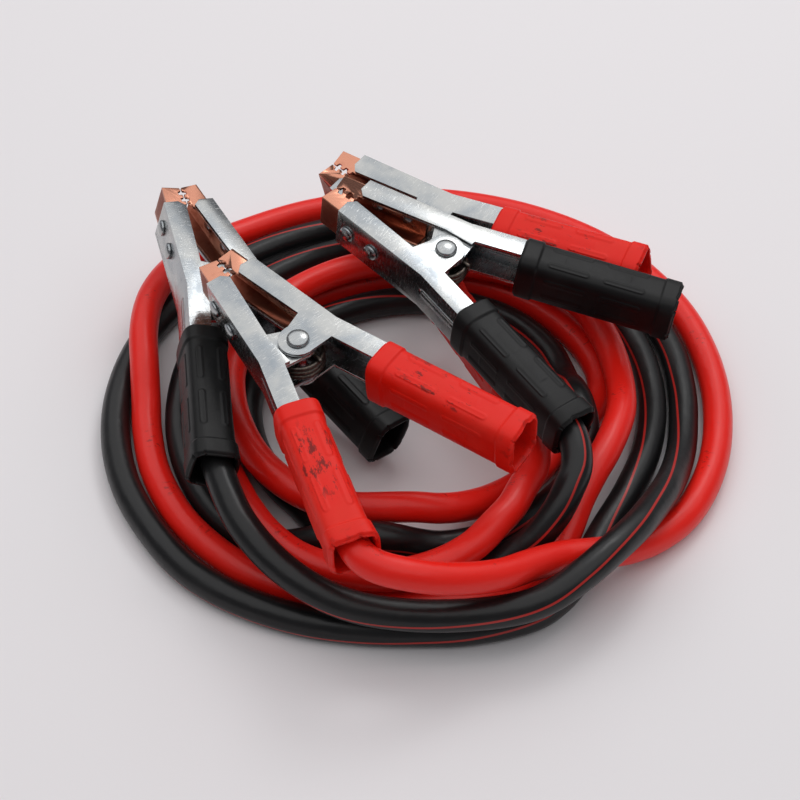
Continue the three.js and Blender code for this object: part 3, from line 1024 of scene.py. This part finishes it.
@dataclass
class Spring:
    """The torsion spring about the pivot."""

    half: Half
    material: bpy.types.Material
    finish: SpringFinish
    wire: float = 1.1
    radius: float = 9.7
    pitch: float = 2.5
    turns: float = 3.38
    start: float = math.radians(112)
    leg: float = 20.0
    leg_rise: float = 0.8
    sides: int = 12
    rings: int = 260

    def build(self) -> None:
        """Makes the spring: a helix about the pivot, with a leg under each handle."""
        low = -self.pitch * 2
        turn = np.linspace(0, self.turns, 60)
        angle = self.start - turn * 2 * math.pi
        round_pivot = self.radius * np.stack([np.cos(angle), np.sin(angle)], 1)
        helix = np.column_stack([round_pivot, low + turn * self.pitch])
        under = STEEL + GAP + self.wire
        begin = HANDLE_ALONG * (GRIP_START - 2) + HANDLE_INWARD * under + [0.0, BEND_Y, low]
        leg = np.array([-self.leg, self.leg_rise, 0.0])
        line = catmull_rom(np.vstack([begin, helix, helix[-1] + leg * 0.5, helix[-1] + leg]), 4)
        centre, _ = evenly(line, self.rings)
        points = swept(centre, self.wire, np.linspace(0, 2 * math.pi, self.sides, endpoint=False))
        name = f"{self.half.pose.name}_spring"
        faces = capped(self.rings, self.sides)
        item = new_mesh(f"{name}_shown", to_model(self.half.placed(points)), faces)
        self.half.settle(item, name, self.finish, self.material)


@dataclass
class Grip:
    """A soft sleeve over a handle, with a ring at each end and raised ovals between. The mouth
    that takes a cable grows by the shares front and back, and narrows by the share pinch."""

    half: Half
    material: bpy.types.Material
    columns: int = 160
    rows: int = 150
    back: float = -0.06
    front: float = 0.24
    pinch: float = 0.12
    rings: tuple = ((26.4, 34.6), (89.4, 97.6))
    ring_height: float = 0.8
    oval_rows: tuple = (-4.8, 0.0, 4.8)
    oval_places: tuple = ((48.0, 73.0), (55.0, 66.0), (48.0, 73.0))
    oval_half_length: float = 8.0
    oval_height: float = 0.4
    shoulder: float = 0.7
    oval_edge: tuple = (1.5, 0.5)
    oval_floor: tuple = (0.9, 0.4)
    floor_share: float = 0.45
    torn_reach: float = 5.0
    torn_share: float = 0.55

    def section(self, along: np.ndarray, growth: float) -> tuple[np.ndarray, ...]:
        """Middle and half sizes of the rounded-rectangle section along the grip.

        Args:
            along: Distance along the handle.
            growth: How far the surface stands out from the sleeve's inside.

        Returns:
            Depth of the middle, half the depth and half the width.
        """
        reach = np.clip((along - MOUTH_START) / (GRIP_END - MOUTH_START), 0, 1) ** 2
        opens = reach if self.half.side == "cable" else np.zeros_like(reach)
        back = CABLE_DEPTH - (CABLE_DEPTH + GAP) * (1 + self.back * opens)
        front = CABLE_DEPTH + (CABLE_RADIUS + GAP) * (1 + self.front * opens)
        middle = (back + front) / 2
        width = (LEVER_HALF_WIDTH + GAP) * (1 - self.pinch * opens)
        return middle, (front - back) / 2 + growth, width + growth

    def relief(self, along: np.ndarray, depth: np.ndarray, across: np.ndarray) -> np.ndarray:
        """Height of the moulding on the outside: a ring near each end with rounded shoulders,
        and on each flank three rows of two ovals, raised at the edge and lower inside it.

        Args:
            along: Distance along the handle.
            depth: Depth from the middle of the section.
            across: Place across the section's width.

        Returns:
            The height, in millimetres.
        """
        def smooth(t: np.ndarray) -> np.ndarray:
            """A smooth step: 3 t squared less 2 t cubed, from 0 to 1."""
            t = np.clip(t, 0, 1)
            return t * t * (3 - 2 * t)

        inside = [np.minimum(along - start, end - along) for start, end in self.rings]
        ring = np.maximum(*[smooth(reach / self.shoulder) for reach in inside]) * self.ring_height
        (edge, edge_fall), (floor, floor_fall) = self.oval_edge, self.oval_floor
        ovals = np.zeros(np.broadcast(along, depth, across).shape)
        for row, centres in zip(self.oval_rows, self.oval_places):
            for place, centre in itertools.product((depth, across), centres):
                beyond = np.maximum(np.abs(along - centre) - self.oval_half_length, 0)
                gap = np.hypot(beyond, place - row)
                raised = smooth((edge - gap) / edge_fall)
                sunk = self.floor_share * smooth((floor - gap) / floor_fall)
                ovals = np.maximum(ovals, raised - sunk)
        return ring + ovals * self.oval_height

    def torn(self, angle: np.ndarray, along: np.ndarray) -> np.ndarray:
        """How far the mouth's edge stands back from a straight cut: a sum of sines round the
        edge, with a few deeper nicks, fading out a few millimetres behind the edge.

        Args:
            angle: Angle round the section.
            along: Distance along the handle.

        Returns:
            The shift, in millimetres, never outwards.
        """
        phase = sum(ord(letter) for letter in self.half.pose.name + self.half.side)
        wave = sum(np.sin(k * angle + phase * k) / k ** 0.7 for k in (2, 3, 5, 8, 13, 21))
        beats = np.sin(4 * angle + phase) * np.sin(11 * angle + 2 * phase)
        nicks = np.clip(beats - 0.55, 0, 1) * 4
        fade = np.clip((along - (GRIP_END - self.torn_reach)) / self.torn_reach, 0, 1) ** 2
        return -(0.35 * (wave + 2.5) + nicks)[None, :] * fade[:, None] * self.torn_share

    def build(self) -> None:
        """Makes the sleeve: the outside from its start to its mouth, round the lip and back
        along the inside, as one closed grid of rounded-rectangle rings."""
        outer = np.linspace(GRIP_START, GRIP_END, self.rows)
        lip = np.array([0.75, 0.5, 0.25])
        along = np.r_[outer, GRIP_END + 0.25 + 0 * lip, outer[::-6], GRIP_START - 0.05 + 0 * lip]
        inner = len(outer[::-6])
        growth = np.r_[
            np.full(self.rows, GRIP_WALL), GRIP_WALL * lip,
            np.full(inner, 0.05), GRIP_WALL * lip[::-1],
        ]
        growth[0] -= 0.4
        growth[self.rows - 1] -= 0.4
        middle, half_depth, half_width = self.section(along, growth)
        angle = np.linspace(0, 2 * math.pi, self.columns, endpoint=False)
        power = 2 / np.where(growth > GRIP_WALL * 0.4, 4.0, 6.0)[:, None]
        c, s = np.cos(angle)[None, :], np.sin(angle)[None, :]
        depth = np.sign(c) * np.abs(c) ** power * half_depth[:, None]
        across = np.sign(s) * np.abs(s) ** power * half_width[:, None]
        outside = (growth > GRIP_WALL * 0.7)[:, None]
        raised = self.relief(along[:, None], depth, across) * outside
        reach = np.hypot(depth, across)
        depth = depth * (1 + raised / reach)
        across = across * (1 + raised / reach)
        run = along[:, None] + self.torn(angle, along)
        inward = middle[:, None] + depth
        local = (
            np.array([0.0, BEND_Y, 0.0]) + run[..., None] * HANDLE_ALONG
            + inward[..., None] * HANDLE_INWARD + across[..., None] * UP
        )
        place = np.stack(np.broadcast_arrays(along[:, None], depth, across), -1)
        name = f"{self.half.pose.name}_{self.half.side}_grip"
        item = new_mesh(
            f"{name}_shown", to_model(self.half.placed(local.reshape(-1, 3))),
            grid_faces(len(along), self.columns, loop_rows=True),
            attributes={"grip_place": place.reshape(-1, 3)},
        )
        self.half.settle(item, name, self.half.pose.grip, self.material)


@dataclass
class Cable:
    """A cable: from inside one grip, round the coil and into another grip."""

    name: str
    finish: CableFinish
    first: tuple
    coil: tuple
    last: tuple
    sides: int = 28
    rings: int = 1100
    line_middle: float = 1.1
    line_drift: float = 1.5
    line_top: float = math.radians(45)

    def in_grip(self, pose: ClampPose, mouth: Sequence) -> np.ndarray:
        """Points inside a grip, from deep inside to its mouth.

        Args:
            pose: The clamp.
            mouth: Distance along the handle and sideways shift of the last two points.

        Returns:
            The points, in working millimetres.
        """
        rows = np.array([*IN_GRIP, *mouth], float)
        local = (
            np.array([0.0, BEND_Y, 0.0]) + rows[:, :1] * HANDLE_ALONG
            + (CABLE_DEPTH + rows[:, 1:]) * HANDLE_INWARD
        )
        return Half(pose, "cable", {}).placed(local)

    def route(self) -> np.ndarray:
        """The cable's middle line.

        Returns:
            Its points, in working millimetres.
        """
        rows = np.array(self.coil, float)
        turn = np.radians(rows[:, 0])
        out = rows[:, 1:2] * np.stack([np.cos(turn), np.sin(turn)], 1)
        around = np.column_stack([COIL_CENTRE + out, rows[:, 2]])
        ends = []
        for pose, mouth, way in (self.first, self.last):
            ends.append(np.vstack([self.in_grip(pose, mouth), np.array(way, float).reshape(-1, 3)]))
        return catmull_rom(np.vstack([ends[0], around, ends[1][::-1]]), COIL_STEPS)

    def jacket_place(self, centre: np.ndarray, along: np.ndarray, angle: np.ndarray) -> np.ndarray:
        """Where each point of the jacket lies for its finish. The printed line's angle is a
        middle value plus a drift times the cosine of the turn round the coil, from where it is
        highest.

        Args:
            centre: The cable's middle line.
            along: How far along it each ring is.
            angle: Where each point of a ring lies on it.

        Returns:
            The distance along, the angle round and the angle from the printed line, n by 3.
        """
        turn = np.arctan2(*(centre[:, :2] - COIL_CENTRE).T[::-1])
        line = self.line_middle + self.line_drift * np.cos(turn - self.line_top)
        from_line = (angle[None, :] - line[:, None] + math.pi) % (2 * math.pi) - math.pi
        rows = np.broadcast_arrays(along[:, None], angle[None, :], from_line)
        return np.stack(rows, -1).reshape(-1, 3)

    def build(self, material: bpy.types.Material) -> bpy.types.Object:
        """Args:
            material: Its material.

        Returns:
            The cable.
        """
        centre, along = evenly(self.route(), self.rings)
        angle = np.linspace(-math.pi, math.pi, self.sides, endpoint=False)
        item = new_mesh(
            f"{self.name}_shown", to_model(swept(centre, CABLE_RADIUS, angle)),
            capped(self.rings, self.sides),
            attributes={"cable_place": self.jacket_place(centre, along, angle)},
        )
        item.data.materials.append(material)
        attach(item, ROOT_BODY)
        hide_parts(self.name)
        log.info("%s: %.0f mm long", self.name, along[-1])
        return item


class Studio:
    """Camera, floor and lights of the photograph."""

    eye = np.array([0.0, -377.9, 623.8])
    pitch = math.radians(45)
    lens = 86.74
    floor_half = 6.0
    aim = Vector((0.0, 0.0, 0.03))
    room_colour = (0.96, 0.95, 1.0, 1.0)
    room_strength = 0.22

    def camera(self) -> None:
        """Puts the camera where the photograph was taken from."""
        data = bpy.data.cameras.new("camera")
        data.lens = self.lens
        data.sensor_width = 36.0
        data.clip_start = 0.05
        camera = bpy.data.objects.new("camera", data)
        camera.location = Vector(to_model(self.eye[None])[0])
        camera.rotation_euler = (self.pitch, 0.0, 0.0)
        bpy.context.scene.collection.objects.link(camera)
        bpy.context.scene.camera = camera

    def floor(self) -> None:
        """Lays the floor."""
        signs = ((-1, -1), (1, -1), (1, 1), (-1, 1))
        corners = [(x * self.floor_half, y * self.floor_half, 0) for x, y in signs]
        mesh = bpy.data.meshes.new("floor")
        mesh.from_pydata(corners, [], [(0, 1, 2, 3)])
        item = bpy.data.objects.new("floor", mesh)
        item.data.materials.append(FloorFinish().build())
        bpy.context.scene.collection.objects.link(item)

    def light(self, name: str, place: Sequence, size: float, power: float) -> None:
        """Adds a soft box aimed at the coil.

        Args:
            name: Its name.
            place: Where it hangs, in metres.
            size: Edge of the box, in metres.
            power: Its watts.
        """
        data = bpy.data.lights.new(name, "AREA")
        data.size = size
        data.energy = power
        lamp = bpy.data.objects.new(name, data)
        lamp.location = place
        lamp.rotation_euler = (self.aim - Vector(place)).to_track_quat("-Z", "Y").to_euler()
        bpy.context.scene.collection.objects.link(lamp)

    def lights(self) -> None:
        """Hangs the soft boxes and sets the room's own light."""
        self.light("ceiling", (0.0, 0.25, 1.5), 3.6, 41.0)
        self.light("key", (0.35, 0.75, 1.2), 0.45, 2.6)
        world = bpy.data.worlds.new("room")
        world.use_nodes = True
        backdrop = world.node_tree.nodes["Background"]
        backdrop.inputs["Color"].default_value = self.room_colour
        backdrop.inputs["Strength"].default_value = self.room_strength
        bpy.context.scene.world = world
        bpy.context.scene.view_settings.view_transform = "Standard"

    def build(self) -> None:
        """Makes the whole studio."""
        self.camera()
        self.floor()
        self.lights()


@dataclass
class JumperCables:
    """The whole set."""

    frame: dict
    materials: dict = field(default_factory=dict)

    def material(self, key: str, finish: Any) -> bpy.types.Material:
        """The material of a finish, made once.

        Args:
            key: Its name here.
            finish: The finish.

        Returns:
            The material.
        """
        if key not in self.materials:
            self.materials[key] = finish.build()
        return self.materials[key]

    def build_cables(self) -> None:
        """Makes both cables."""
        rear_black, front_red, front_black, rear_red = CLAMPS
        cables = (
            Cable(
                "red_cable", RED_CABLE, (front_red, ((80, 0.2), (98, 1.7)), ()), RED_COIL,
                (rear_red, ((82, -0.1), (98, -1.5)), ((56.5, 202, 24), (58, 191, 24), (56.5, 180, 24))),
            ),
            Cable(
                "black_cable", BLACK_CABLE, (rear_black, ((82, 0.2), (98, 2.6)), ()), BLACK_COIL,
                (front_black, ((82, -0.1), (98, -1.8)), ((73, 165.5, 42), (69.5, 157, 38), (64, 149, 31))),
            ),
        )
        for cable in cables:
            cable.build(self.material(cable.name, cable.finish))

    def build_clamp(self, pose: ClampPose) -> None:
        """Makes one clamp.

        Args:
            pose: Where it lies.
        """
        zinc = self.material("zinc", ZincFinish())
        embossed = self.material("embossed", ZincFinish(embossed=True))
        copper = self.material("copper", CopperFinish())
        rivets = Rivets(ZincFinish(), zinc)
        for side in ("cable", "free"):
            half = Half(pose, side, self.frame)
            lever, jaw = f"{pose.name}_{side}_lever", f"{pose.name}_{side}_jaw"
            half.settle(half.softened(lever, 0.00035, 2), lever, ZincFinish(), embossed)
            half.settle(half.softened(jaw, 0.0002, 2), jaw, CopperFinish(), copper)
            rivets.build_jaw(half)
            Grip(half, self.material(pose.grip.slot, pose.grip)).build()
            if side == "cable":
                rivets.build_pivot(half)
                Spring(half, self.material("spring", SpringFinish()), SpringFinish()).build()

    def build(self) -> None:
        """Makes the cables, then the clamps."""
        self.build_cables()
        for pose in CLAMPS:
            self.build_clamp(pose)


def main() -> None:
    """Builds the scene."""
    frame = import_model()
    Studio().build()
    JumperCables(frame).build()


if __name__ == "__main__":
    main()
